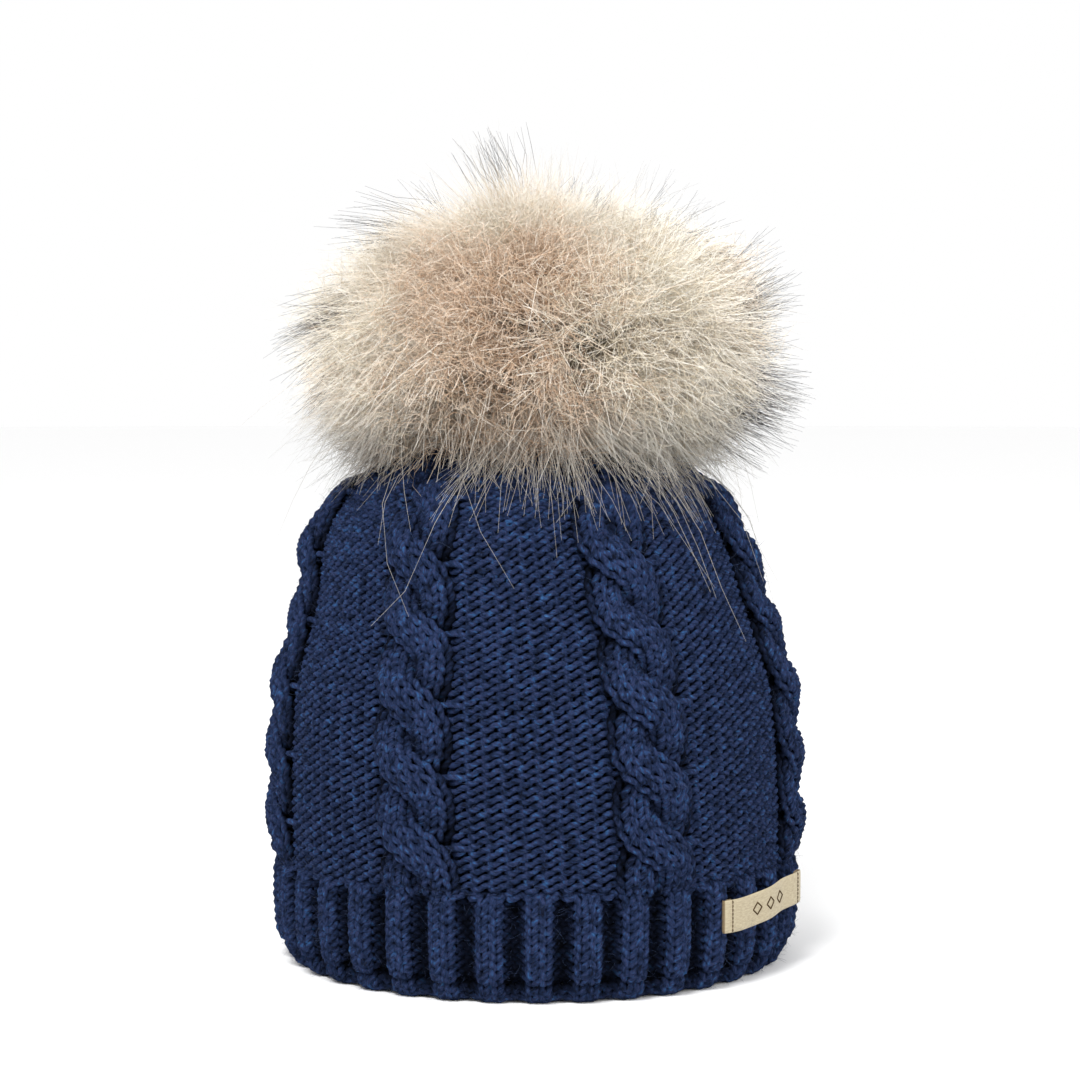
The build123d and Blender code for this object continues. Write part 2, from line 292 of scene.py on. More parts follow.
# ---------------------------------------------------------------- materials
class Look:
    """A material, its Principled shader, and short ways to add nodes in front of it."""

    def __init__(self, name):
        self.material = bpy.data.materials.new(name)
        self.material.use_nodes = True
        self.tree = self.material.node_tree
        self.shader = self.tree.nodes["Principled BSDF"]

    def give(self, node, inputs):
        """Sets a node's inputs, by name or number, to sockets, numbers or colours."""
        for key, value in inputs.items():
            if isinstance(value, bpy.types.NodeSocket):
                self.tree.links.new(value, node.inputs[key])
            else:
                node.inputs[key].default_value = (*value, 1) if isinstance(value, tuple) else value

    def add(self, kind, inputs, output=0, **settings):
        """The output of a new node."""
        node = self.tree.nodes.new("ShaderNode" + kind)
        for key, value in settings.items():
            setattr(node, key, value)
        self.give(node, inputs)
        return node.outputs[output]

    def math(self, operation, *values):
        return self.add("Math", dict(enumerate(values)), operation=operation)

    def attribute(self, key):
        """A number that the mesh keeps at each of its points."""
        return self.add("Attribute", {}, "Fac", attribute_name=key)

    def position(self):
        return self.add("NewGeometry", {}, "Position")

    def along(self):
        """The two ways of the piece's own UV, in the units that its mesh gives them."""
        return self.add("SeparateXYZ", {0: self.add("UVMap", {}, uv_map="along")}).node.outputs[:2]

    def noise(self, vector, scale, detail, roughness):
        inputs = {"Vector": vector, "Scale": scale, "Detail": detail, "Roughness": roughness}
        return self.add("TexNoise", inputs, "Fac")

    def combine(self, x, y, z):
        return self.add("CombineXYZ", {0: x, 1: y, 2: z})

    def ramp(self, factor, stops):
        """A colour ramp of (place, colour) stops."""
        output = self.add("ValToRGB", {0: factor})
        elements = output.node.color_ramp.elements
        elements.remove(elements[1])
        for i, (spot, colour) in enumerate(stops):
            element = elements[0] if i == 0 else elements.new(spot)
            element.position, element.color = spot, (*colour, 1)
        return output

    def map_range(self, value, low, high, to_low=0.0, to_high=1.0):
        """A value's place between low and high, eased, as a number from to_low to to_high."""
        names = ("Value", "From Min", "From Max", "To Min", "To Max")
        inputs = dict(zip(names, (value, low, high, to_low, to_high)))
        return self.add("MapRange", inputs, interpolation_type="SMOOTHSTEP")

    def mix(self, factor, a, b, blend="MIX"):
        """Two colours mixed."""
        return self.add("Mix", {"Factor": factor, 6: a, 7: b}, 2, data_type="RGBA", blend_type=blend)

    def bump(self, height, strength, distance):
        inputs = {"Height": height, "Strength": strength, "Distance": distance}
        self.give(self.shader, {"Normal": self.add("Bump", inputs)})

    def finished(self, colour, roughness, more={}):
        """The material, with its shader's inputs set."""
        self.give(self.shader, {"Base Color": colour, "Roughness": roughness, **more})
        return self.material


def yarn_material(name, stops, turns_per_mm=0.16, shaded=False):
    """Plied melange yarn: flecks and ridges that wind round the thread, and painted shade where it lies
    deep.
    """
    look = Look(name)
    u, v = look.along()
    turn = look.math("MULTIPLY_ADD", u, turns_per_mm * TAU, look.math("MULTIPLY", v, TAU))

    def wound(scale_round, scale_along):
        """Texture places that wind round the thread with its plies."""
        x, y = (look.math("MULTIPLY", look.math(wave, turn), scale_round) for wave in ("COSINE", "SINE"))
        return look.combine(x, y, look.math("MULTIPLY", u, scale_along))

    streak = look.noise(wound(2.6, 0.55), 1.6, 4.0, 0.62)
    patch = look.noise(look.position(), 330.0, 2.0, 0.6)
    mixed = look.math("MULTIPLY_ADD", patch, 0.5, look.math("MULTIPLY", streak, 0.5))
    ridge = look.math("SINE", look.math("MULTIPLY", turn, PLIES))
    hair = look.noise(wound(6.0, 0.6), 2.0, 3.0, 0.6)
    ridged = look.math("MULTIPLY_ADD", ridge, 0.03, mixed)
    streaked = look.math("MULTIPLY_ADD", look.math("SUBTRACT", hair, 0.5), 0.30, ridged)
    colour = look.ramp(streaked, stops)
    if shaded:
        # painted shade: the yarn is darkened where it lies deep in the fabric, down to a tenth of its
        # colour
        light = look.map_range(look.attribute("painted_shade_height"), -2.0, 1.9, 0.10, 1.0)
        colour = look.mix(1.0, colour, light, "MULTIPLY")
    look.bump(look.math("MULTIPLY_ADD", ridge, 0.30, hair), 1.0, 0.35 * MM)
    return look.finished(colour, 0.92, {"Specular IOR Level": 0.04})


def mottled_material(name, dark, light, scale, roughness, depth, metallic=0.0):
    """A material whose colour and surface vary with fine noise."""
    look = Look(name)
    grain = look.noise(look.position(), scale, 4.0, 0.6)
    look.bump(grain, 0.7, depth)
    return look.finished(look.ramp(grain, [(0.36, dark), (0.64, light)]), roughness, {"Metallic": metallic})


def woven_material(name, dark, light, pitch, depth):
    """Plain weave on a piece's own UV, which is in millimetres, with painted shade where the cloth folds
    under.
    """
    look = Look(name)
    u, v = look.along()
    x, y = (look.math("SINE", look.math("MULTIPLY", way, math.pi / pitch)) for way in (u, v))
    slub = look.noise(look.combine(look.math("MULTIPLY", u, 0.3), v, 0.0), 2.2, 4.0, 0.6)
    level = look.math("MULTIPLY_ADD", look.math("MULTIPLY", x, y), 0.22, slub)
    colour = look.ramp(level, [(0.2, dark), (0.72, light)])
    # painted shade: the cloth is darkened where it folds under
    under = look.mix(1.0, colour, (0.40, 0.33, 0.25), "MULTIPLY")
    look.bump(level, 0.9, depth)
    return look.finished(look.mix(look.attribute("under"), colour, under), 0.8, {"Sheen Weight": 0.1})


def fleece_material(name, dark, light):
    """Napped cloth with a fine speckle."""
    look = Look(name)
    speck = look.noise(look.position(), 900.0, 4.0, 0.7)
    look.bump(speck, 0.6, 0.6 * MM)
    return look.finished(look.ramp(speck, [(0.3, dark), (0.7, light)]), 1.0, {"Sheen Weight": 0.15})


def fur_material(name, pale, brown, roughness):
    """Hair whose colour changes from root to tip. tone goes from the ramp pale to the ramp brown."""
    look = Look(name)
    along = look.attribute("along")
    hue = look.mix(look.attribute("tone"), look.ramp(along, pale), look.ramp(along, brown))
    # painted shade: hair is darkened the lower it stands on the pom
    painted_underside_shade = look.map_range(look.attribute("height"), *UNDERSIDE, UNDERSIDE_PAINTED_SHADE, 1.0)
    hue = look.mix(1.0, hue, painted_underside_shade, "MULTIPLY")
    tip = look.math("MULTIPLY", look.attribute("dark"), look.map_range(along, 0.52, 0.84))
    return look.finished(look.mix(tip, hue, (0.020, 0.019, 0.026)), roughness, {"Specular IOR Level": 0.25})


navy_yarn = yarn_material(
    "navy_melange_yarn",
    [
        (0.34, (0.004, 0.005, 0.011)),
        (0.43, (0.010, 0.016, 0.039)),
        (0.50, (0.013, 0.029, 0.082)),
        (0.55, (0.033, 0.033, 0.074)),
        (0.60, (0.018, 0.056, 0.158)),
        (0.66, (0.030, 0.090, 0.220)),
        (0.76, (0.070, 0.160, 0.330)),
    ],
    shaded=True,
)


# ---------------------------------------------------------------- the knitting
def cable_width(r):
    """A cable's width at a radius. It narrows less than the hat does."""
    return CABLE_WIDTH * np.minimum(r / FULL_RADIUS, 1) ** 0.55


def column_angle(v, s):
    """The angle of a place v stitches round from the middle of cable 0.

    On the brim the purl columns are drawn in behind the knit ones. On the body the cables keep their
    width, and the ground between them narrows with the hat.
    """
    repeat = np.round(v / REPEAT_STITCHES)
    x = v - REPEAT_STITCHES * repeat
    rib = x / (REPEAT_STITCHES / RIBS_PER_REPEAT)
    whole = np.floor(rib + 0.5)
    part = rib - whole
    inside = part * (PURL_SHARE / 0.5)
    outside = np.sign(part) * (PURL_SHARE / 2 + (np.abs(part) - 0.25) * (1 - PURL_SHARE) / 0.5)
    brim = (whole + np.where(np.abs(part) < 0.25, inside, outside)) / RIBS_PER_REPEAT
    r = radius_at(s)
    share = cable_width(r) * REPEATS / (TAU * r)
    beside = (np.abs(x) - CABLE_HALF) / (REPEAT_STITCHES / 2 - CABLE_HALF)
    ground = np.sign(x) * (share / 2 + beside * (1 - share) / 2)
    body = np.where(np.abs(x) <= CABLE_HALF, x / (2 * CABLE_HALF) * share, ground)
    mix = smoothstep((s - BRIM_S) / (2 * ROW) + 0.5)
    start, turned, run = TWIST
    twist = start + turned * np.clip((s - BRIM_S) / run, 0, 1.4)
    return FIRST_CABLE + twist + (repeat + brim * (1 - mix) + body * mix) * TAU / REPEATS


def rib_wave(v):
    """1 in the middle of a knit rib, -1 in the middle of a purl gutter."""
    return -np.cos(TAU * v / (REPEAT_STITCHES / RIBS_PER_REPEAT))


def rib_height(v, s):
    """How far the ribbing stands out at a place, less at its rim."""
    wave = rib_wave(v)
    share = RIM_RELIEF + (1 - RIM_RELIEF) * smoothstep(s / CREASE_S - 0.2)
    return RIB_RELIEF * share * wave * (1.5 - 0.5 * wave**2)


def uneven(rng, shape, amount):
    """Small differences from stitch to stitch, as a factor near 1."""
    return 1 + amount * np.clip(rng.normal(size=shape), -2, 2)


def per_step(values, steps):
    """Values per stitch, smoothly spread over a course's steps. values is (courses, stitches)."""
    stitches = values.shape[1]
    at = np.linspace(0, stitches, steps, endpoint=False)
    low = np.floor(at).astype(int)
    share = smoothstep(at - low)
    return values[:, low % stitches] * (1 - share) + values[:, (low + 1) % stitches] * share


def loops(v, knit, rng, lean=LOOP_LEAN):
    """One course's wave at places v in stitches: (v shifted, rise over the row's middle, height)."""
    t = TAU * v
    size = uneven(rng, (1, max(int(np.ceil(np.ptp(v))), 2)), 0.07)
    tall = per_step(size, len(v))[0]
    proud = per_step(uneven(rng, size.shape, 0.16), len(v))[0]
    shifted = v + lean * np.sin(2 * t)
    rise = -LOOP_HALF_HEIGHT * np.cos(t) * tall
    height = -knit * LOOP_DEPTH * np.cos(2 * t) * proud
    return shifted, rise, height


def brim_courses(rows, rng):
    """Closed courses of 2x2 ribbing."""
    v = np.arange(STITCHES * SEGMENTS) / SEGMENTS
    courses = []
    for row in rows:
        knit = np.clip(4 * rib_wave(v), -1, 1)
        shifted, rise, height = loops(v, knit, rng)
        s = np.maximum(FIRST_ROW_S + row * ROW + rise, LOWEST_S)
        fade = 1 - smoothstep((s - BRIM_S) / (2 * ROW) + 0.6)
        crease = np.exp(-(((s - CREASE_S) / CREASE_SPREAD) ** 2))
        n = height + rib_height(shifted, s) * fade - CREASE_DEPTH * crease
        # painted shade: the brim's yarn and its crease are shaded deeper than they stand, so they are
        # darker
        level = n - RIB_SHADE * fade - CREASE_SHADE * crease
        courses.append((column_angle(shifted, s), s, n, level))
    angle, s, n, level = np.moveaxis(courses, 1, 0)
    return yarn(angle, s, n, YARN_RADIUS, closed=True, level=level)


def ground_courses(repeat, rng):
    """The purl ground between one cable and the next, with its ends tucked behind the cables."""
    tuck = 0.45
    count = int((GROUND_STITCHES + 2 * tuck) * SEGMENTS * 1.25) + 1
    stitch = np.linspace(-tuck, GROUND_STITCHES + tuck, count)
    wide = (REPEAT_STITCHES - 2 * CABLE_HALF) / GROUND_STITCHES
    edge = np.minimum(stitch - stitch[0], stitch[-1] - stitch)
    courses = []
    for row in range(BODY_ROWS):
        shifted, rise, height = loops(stitch, -PURL_DEPTH / LOOP_DEPTH, rng, PURL_LEAN)
        rise = rise + PURL_SLANT * np.sin(2 * TAU * stitch)
        s = BRIM_S + (row + 0.5) * ROW + rise
        n = height - TUCK_DEPTH * (1 - smoothstep(edge / 0.6))
        angle = column_angle(REPEAT_STITCHES * repeat + CABLE_HALF + shifted * wide, s)
        courses.append((angle, s, n))
    return yarn(*np.moveaxis(courses, 1, 0), PURL_YARN_RADIUS)


def strand_phase(row):
    """How far a cable's two strands have wound round each other at a row of the body."""
    turns = (row - FIRST_CROSS_ROW) / CROSS_ROWS
    return np.maximum(math.pi / 2 + math.pi * turns + CROSS_HASTE / 2 * np.sin(TAU * turns), 0)


def cable_courses(repeat, rng):
    """Two strands of three knit columns that wind round each other."""
    across = np.linspace(0, CABLE_HALF, CABLE_HALF * SEGMENTS + 1)
    edge = np.minimum(across, CABLE_HALF - across)
    half = CABLE_HALF / 2
    courses = []
    for row in range(CABLE_ROWS):
        for strand in (0, 1):
            shifted, rise, height = loops(across, 1.0, rng)
            local = shifted - half
            at = row + 0.5 + rise / ROW
            phase = strand_phase(at) + math.pi * strand
            s0 = BRIM_S + at * ROW
            width = cable_width(radius_at(s0)) / (2 * CABLE_HALF)
            moving = strand_phase(at) > 0
            turning = 1 + CROSS_HASTE * np.cos(TAU * (at - FIRST_CROSS_ROW) / CROSS_ROWS)
            slope = -half * np.sin(phase) * turning * math.pi / CROSS_ROWS * width / ROW * moving
            up = 1 / np.sqrt(1 + slope**2)
            x = half * np.cos(phase) + local * up
            s = s0 - local * width * slope * up
            fade = smoothstep((row + 1.5) / 3) * smoothstep((CABLE_ROWS + 1 - row) / 8)
            bulge = CABLE_BULGE * (1 - (local / half) ** 2)
            n = height + fade * (CABLE_BASE + CABLE_SWING * np.sin(phase) * moving + bulge)
            n = n - TUCK_DEPTH * (1 - smoothstep(edge / 0.5))
            # painted shade: the cable is measured from its own top, so its strands darken where they dive
            # under
            level = n - fade * (CABLE_BASE + CABLE_BULGE)
            courses.append((column_angle(x + REPEAT_STITCHES * repeat, s), s, n, level))
    angle, s, n, level = np.moveaxis(courses, 1, 0)
    return joined([yarn(angle, s, n, YARN_RADIUS, level=level), cable_floats(repeat)])


def cable_floats(repeat):
    """The short float that shows at a cable's right edge under each crossing."""
    across = np.linspace(0, 1, 9)
    courses = []
    for cross in range(int((CABLE_ROWS - FIRST_CROSS_ROW) / CROSS_ROWS) + 1):
        row = FIRST_CROSS_ROW + CROSS_ROWS * cross - 0.3
        s = BRIM_S + (row + 0.25 * np.sin(math.pi * across)) * ROW
        x = CABLE_HALF - 1.2 + 2.6 * across
        n = (3.0 * np.sin(math.pi * (0.25 + 0.70 * across)) - 0.5) * MM
        courses.append((column_angle(x + REPEAT_STITCHES * repeat, s), s, n))
    return yarn(*np.moveaxis(courses, 1, 0), PURL_YARN_RADIUS)


def crown_courses(rng):
    """Courses with fewer and fewer stitches, drawn into soft pleats round the press stud."""
    parts = []
    s = BRIM_S + (BODY_ROWS + 0.5) * ROW
    while radius_at(s) > CROWN_HOLE:
        stitches = max(int(round(TAU * float(radius_at(s)) / CROWN_PITCH / REPEATS)), 2) * REPEATS
        v = np.arange(stitches * SEGMENTS) / SEGMENTS
        shifted, rise, height = loops(v, -1.0, rng, PURL_LEAN)
        angle = FIRST_CABLE + shifted / stitches * TAU
        flat = smoothstep((radius_at(s) - 15 * MM) / (14 * MM))
        pleat = PLEAT_DEPTH * flat * np.cos(2 * REPEATS * (angle - FIRST_CABLE))
        parts.append(yarn(angle[None], (s + rise)[None], (height + pleat)[None], YARN_RADIUS, closed=True))
        s += ROW
    return joined(parts)


def cast_on_edge():
    """The strand that runs along the bottom of the ribbing."""
    v = np.linspace(0, STITCHES, STITCHES * 8, endpoint=False)
    s = CAST_ON_S + 0.2 * MM * np.cos(TAU * v)
    angle, n = column_angle(v, s), rib_height(v, s)
    return yarn(angle[None], s[None], n[None], 1.15 * YARN_RADIUS, closed=True)


def yarn_object(name, made):
    vertices, quads, uv, painted_shade_height = made
    floats = {"painted_shade_height": painted_shade_height}
    return new_object(name, vertices, quads, "hat", navy_yarn, uv, floats)


def make_knitting():
    rng = np.random.default_rng(20)
    half = BRIM_ROWS // 2
    brim = yarn_object("ribbing_lower", joined([cast_on_edge(), brim_courses(range(half), rng)]))
    yarn_object("ribbing_upper", brim_courses(range(half, BRIM_ROWS), rng))
    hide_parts("rib_brim")
    grounds = [yarn_object(f"purl_ground_{k + 1}", ground_courses(k, rng)) for k in range(REPEATS)]
    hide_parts("cable_body")
    for k in range(REPEATS):
        yarn_object(f"rope_cable_{k + 1}", cable_courses(k, rng))
    crown = yarn_object("crown_gathers", crown_courses(rng))
    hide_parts("gathered_crown")


def make_lining():
    """A thin cap inside the knitting."""
    rings = np.linspace(6.5 * MM, FULL_S - 1 * MM, 90)
    turn = np.linspace(0, TAU, 160, endpoint=False)
    deep = LINING_DEPTH - LINING_THICKNESS * smoothstep((rings - 0.75 * FULL_S) / (0.2 * FULL_S))
    s = np.concatenate([rings, rings[::-1]])
    n = -np.concatenate([deep, deep[::-1] + LINING_THICKNESS])
    grid = place(turn[None, :], s[:, None], n[:, None])
    quads = grid_quads(*grid.shape[:2], closed=True)
    ob = new_object("fleece_cap", grid.reshape(-1, 3), quads, "hat", fleece)
    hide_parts("fleece_lining")


def make_fuzz():
    """Loose fibres that stand out of the yarn."""
    rng = np.random.default_rng(31)
    places = np.concatenate(fuzz_places)
    count = 9000
    for k in range(2):
        spot = places[rng.integers(0, len(places), count)]
        root, out = spot[:, 0], spot[:, 1]
        way = unit(out * rng.uniform(0.2, 1.0, (count, 1)) + rng.normal(0, 0.75, (count, 3)))
        bend = np.cross(way, rng.normal(size=(count, 3)))
        along = np.linspace(0, 1, 5)
        t = along[None, :, None]
        length = (np.minimum(rng.gamma(2.5, 0.55, (count, 1, 1)), 3.4) + 0.5) * MM
        paths = root[:, None] + length * (way[:, None] * t + 0.45 * bend[:, None] * t**2)
        paths[..., 2] = np.maximum(paths[..., 2], 0.3 * MM)
        normals = np.broadcast_to(out[:, None], paths.shape)
        vertices, quads, _ = tubes(paths, normals, 0.036 * MM * (1 - 0.6 * along)[None], 3)
        new_object(f"yarn_fuzz_{k + 1}", vertices, quads, "hat", fuzz_material)


def arched_stitches(name, starts, ends, outs, rise, radius, body, material, node):
    """Thread stitches from each start to each end that arch out of the cloth."""
    across = np.linspace(0, 1, 11)[None, :, None]
    starts, ends, outs = (np.array(v)[:, None] for v in (starts, ends, outs))
    paths = starts + (ends - starts) * across + outs * (rise * (4 * across * (1 - across)) ** 0.5 - radius)
    normals = np.broadcast_to(outs, paths.shape)
    vertices, quads, uv = tubes(paths, normals, radius, 8)
    ob = new_object(name, vertices, quads, body, material, uv)
    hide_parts(node)
    return ob


def twisted_ring(box, plies, winds, steps, spread, thickness, sides):
    """A ring of cord that fits a box: plies that wind round each other.

    spread and thickness are shares of the cord's own half thickness.
    """
    low, high = box
    middle, thick = (low[2] + high[2]) / 2, (high[2] - low[2]) / 2
    turn = np.linspace(0, TAU, steps, endpoint=False)
    wind = winds * turn + np.arange(plies)[:, None] * TAU / plies
    r = (high[0] - low[0]) / 2 - thick + spread * thick * np.cos(wind)
    paths = np.stack([r * np.sin(turn), -r * np.cos(turn), middle + 0.4 * thick * np.sin(wind)], -1)
    normals = np.broadcast_to(np.array([0, 0, 1.0]), paths.shape)
    return tubes(paths, normals, thickness * thick, sides, closed=True)


def make_threads():
    """The lining's hem stitches, the back seam's ladder and the drawn crown thread."""
    ribs = FIRST_CABLE + (np.arange(REPEATS * RIBS_PER_REPEAT) + 0.5) * TAU / (REPEATS * RIBS_PER_REPEAT)
    s = np.full(len(ribs), 9.3 * MM)
    wide = 3.0 * MM / radius_at(s)
    inside = -6.1 * MM
    arched_stitches(
        "hem_stitches", place(ribs - wide, s, inside), place(ribs + wide, s, inside), -normal_at(ribs, s),
        0.8 * MM, 0.4 * MM, "hat", navy_thread, "lining_seam_thread",
    )
    low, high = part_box("back_seam_thread")
    back = math.atan2((low[0] + high[0]) / 2, -(low[1] + high[1]) / 2)
    pitch, half = 8.4 * MM, 2.9 * MM
    start, stop = np.interp([low[2], high[2]], profile[:, 1], profile_s)
    s = np.arange(start + half, stop - half, pitch)
    proud = 1.9 * MM + 0 * s
    arched_stitches(
        "back_ladder_stitches", place(back, s - half, proud), place(back, s + half, proud),
        normal_at(back + 0 * s, s), 0.9 * MM, 0.42 * MM, "hat", navy_yarn, "back_seam_thread",
    )
    vertices, quads, uv = twisted_ring(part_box("crown_gather_thread"), 2, 24, 260, 0.5, 0.55, 8)
    ob = new_object("crown_drawn_yarn", vertices, quads, "hat", navy_yarn, uv)
    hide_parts("crown_gather_thread")


def ribbon(name, centre, outs, up, thickness, height, rows, body, material, under=0.0):
    """A ribbon with a round edge all about. centre is its path, outs its outside and up its width's way.

    under is 1 at the steps of the path that lie folded under, which the material darkens with painted
    shade, and 0 at the others.
    """
    steps = len(centre)
    lengths = np.concatenate([[0], np.cumsum(np.linalg.norm(np.diff(centre, axis=0), axis=1))])
    across = np.linspace(-0.5, 0.5, rows)
    half = thickness / 2 * np.sqrt(np.clip(1 - (np.abs(across) * 2) ** 24, 0.05, 1))
    side = np.concatenate([across, across[::-1]])
    level = np.concatenate([half, -half[::-1]])[:, None]
    grid = centre[:, None] + up[:, None] * (side * height)[:, None] + outs[:, None] * level
    count = len(side)
    quads = grid_quads(steps, count)[:, [0, 3, 2, 1]]
    uv = np.stack([lengths[quads // count], side[quads % count] * height], -1).reshape(-1, 2) / MM
    cap = np.arange(rows - 1)
    start = np.stack([cap, cap + 1, count - 2 - cap, count - 1 - cap], -1)
    ends = np.concatenate([start, start[:, ::-1] + (steps - 1) * count])
    uv = np.concatenate([uv, np.tile(uv[:1], (ends.size, 1))])
    quads = np.concatenate([quads, ends])
    floats = {"under": np.repeat(np.broadcast_to(under, steps), count)}
    return new_object(name, grid.reshape(-1, 3), quads, body, material, uv, floats)


def make_side_label():
    """A woven ribbon with folded ends on the brim, two rows of stitches and a row of small diamonds."""
    low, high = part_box("side_label")
    height = (high[2] - low[2]) - 0.4 * MM
    middle = (high[2] + low[2]) / 2
    first, last = LABEL_ANGLES
    radius, fold, gap = 86.9 * MM, 3.2 * MM, 1.2 * MM
    thickness = 0.42 * MM
    face_steps, fold_steps = 70, 6

    def lift(angle):
        """How far the ribbon stands off its radius. It rides over the ribs, and its far end springs out."""
        share = (angle - first) / (last - first)
        return 0.25 * MM * np.sin(share * 2.5 * TAU) + LABEL_SPRING * smoothstep((share - 0.68) / 0.36)

    def rise(angle):
        """How far the ribbon's middle is over or under its mean height."""
        share = (angle - first) / (last - first)
        return LABEL_TILT * (smoothstep((share - 0.1) / 0.9) - 0.5)

    front = np.linspace(first, last, face_steps)
    bend = np.linspace(0, math.pi, 9)[1:-1]
    back = np.linspace(0, fold, fold_steps) / radius
    angle = np.concatenate([
        (first + back)[::-1], first - gap / 2 * np.sin(bend) / radius, front,
        last + gap / 2 * np.sin(bend) / radius, last - back,
    ])
    r = lift(angle) + np.concatenate([
        np.full(fold_steps, radius - gap), radius - gap / 2 - gap / 2 * np.cos(bend),
        np.full(face_steps, radius), radius - gap / 2 + gap / 2 * np.cos(bend),
        np.full(fold_steps, radius - gap),
    ])
    # painted shade on the folded ends of the ribbon
    under = np.concatenate([np.ones(12), np.zeros(72), np.ones(12)])
    flat = np.stack([np.sin(angle), -np.cos(angle), 0 * angle], -1)
    centre = flat * r[:, None] + np.stack([0 * angle, 0 * angle, middle + rise(angle)], -1)
    run = unit(np.gradient(centre, axis=0))
    up = np.broadcast_to(np.array([0, 0, 1.0]), centre.shape)
    outs = unit(np.cross(run, up))
    label = ribbon(
        "ribbon_label", centre, outs, up, thickness, height, 15, "hat", ribbon_cloth, under,
    )
    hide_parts("side_label")

    def on_label(angle, z):
        """A place on the ribbon's face, at an angle and a height over its middle."""
        r = radius + thickness / 2 + lift(angle)
        return np.array([r * math.sin(angle), -r * math.cos(angle), middle + rise(angle) + z])

    pitch, starts, ends, stitch_outs = 1.24 * MM, [], [], []
    for row in (first + 2.6 * MM / radius, last - 3.4 * MM / radius):
        for k in range(8):
            z = (k - 3.5) * pitch
            starts.append(on_label(row, z - 0.40 * MM))
            ends.append(on_label(row, z + 0.40 * MM))
            stitch_outs.append([math.sin(row), -math.cos(row), 0])
    stitches = arched_stitches(
        "ribbon_label_stitches", starts, ends, stitch_outs, 0.32 * MM, 0.19 * MM, "hat",
        brown_thread, "side_label_stitches",
    )
    turn = np.arange(32) * TAU / 32
    reach = 1 / (np.abs(np.cos(turn)) + np.abs(np.sin(turn)))
    outline = list(zip(2.3 * MM * reach * np.cos(turn), 1.9 * MM * reach * np.sin(turn)))
    spots = first + (last - first) * np.array([0.34, 0.5, 0.66])
    lines = np.array([[on_label(spot + a / radius, z) for a, z in outline] for spot in spots])
    vertices, quads, uv = tubes(lines, unit(lines * np.array([1, 1, 0])), 0.24 * MM, 8, closed=True)
    motif = new_object("ribbon_diamonds", vertices, quads, "hat", brown_thread, uv)


def make_care_label():
    """A satin flap inside the back, and the stitches over its top edge."""
    low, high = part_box("care_label")
    wide, tall = high[0] - low[0] - 0.4 * MM, high[2] - low[2]
    y = (low[1] + high[1]) / 2
    z = np.linspace(high[2], low[2] + 0.3 * MM, 40)
    sway = 0.55 * MM * np.sin((high[2] - z) / tall * math.pi * 1.3)
    centre = np.stack([0 * z, y - sway, z], -1)
    run = unit(np.gradient(centre, axis=0))
    up = np.broadcast_to(np.array([1.0, 0, 0]), centre.shape)
    outs = np.cross(run, up)
    tag = ribbon("care_tag", centre, outs, up, 0.3 * MM, wide, 19, "care_flap", satin)
    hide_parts("care_label")
    low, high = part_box("care_label_stitches")
    z = (low[2] + high[2]) / 2
    x = (np.arange(5) - 2) * 5 * MM
    starts = np.stack([x - 1.5 * MM, 0 * x + y, 0 * x + z], -1)
    ends = np.stack([x + 1.5 * MM, 0 * x + y, 0 * x + z], -1)
    outs = np.broadcast_to(np.array([0, -1.0, 0]), starts.shape)
    arched_stitches(
        "care_tag_stitches", starts, ends, outs, 0.4 * MM, 0.3 * MM, "hat", white_thread,
        "care_label_stitches",
    )


def pelt_profile(inset):
    """The pelt's outline from its mouth to its top, moved inwards."""
    points = [(21, 180.3), (30.5, 187.5), (36.0, 203), (31.0, 221), (17.0, 231.5), (0.5, 235)]
    line = smooth_path(points, 10) * MM
    way = unit(np.gradient(line, axis=0))
    line = line - inset * np.stack([way[:, 1], -way[:, 0]], -1)
    return line[line[:, 0] > 0]


def turned(profile_points, around, ripple):
    """A profile turned about Z. ripple(angle, index) moves it in or out along the radius."""
    turn = np.linspace(0, TAU, around, endpoint=False)
    r = profile_points[:, :1] + ripple(turn[None], np.arange(len(profile_points))[:, None])
    z = profile_points[:, 1:] + 0 * turn[None]
    grid = np.stack([r * np.sin(turn), -r * np.cos(turn), z], -1)
    return grid.reshape(-1, 3), grid_quads(*grid.shape[:2])


def make_pom_inside():
    """The gathered pelt, its wadding and its drawstring."""
    wall = np.concatenate([pelt_profile(1.4 * MM)[::-1], pelt_profile(0.1 * MM)])
    mouth = np.exp(-(wall[:, 1] - wall[:, 1].min()) / (5 * MM))[:, None]
    vertices, quads = turned(wall, 180, lambda turn, k: 0.5 * MM * mouth[k[:, 0]] * np.cos(26 * turn))
    pelt = new_object("gathered_pelt", vertices, quads, "pom", suede)
    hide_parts("pom_pelt")
    hollow = np.array([(0.5, 185.2), (7.5, 185.0), (9.0, 183.0), (9.4, 181.2)]) * MM
    body = np.concatenate([hollow, pelt_profile(2.3 * MM)])
    lumps = np.random.default_rng(3).uniform(0, TAU, 4)

    def lumpy(turn, k):
        soft = sum(np.sin((n + 3) * turn + 0.21 * (n + 1) * k + p) for n, p in enumerate(lumps))
        return -0.25 * MM * (1 + soft / 4)

    vertices, quads = turned(body, 120, lumpy)
    wadding = new_object("pom_wadding", vertices, quads, "pom", fluff)
    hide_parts("pom_filling")
    vertices, quads, uv = twisted_ring(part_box("pom_drawstring"), 3, 30, 300, 0.45, 0.5, 6)
    cord = new_object("pelt_drawstring", vertices, quads, "pom", white_thread, uv)
    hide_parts("pom_drawstring")


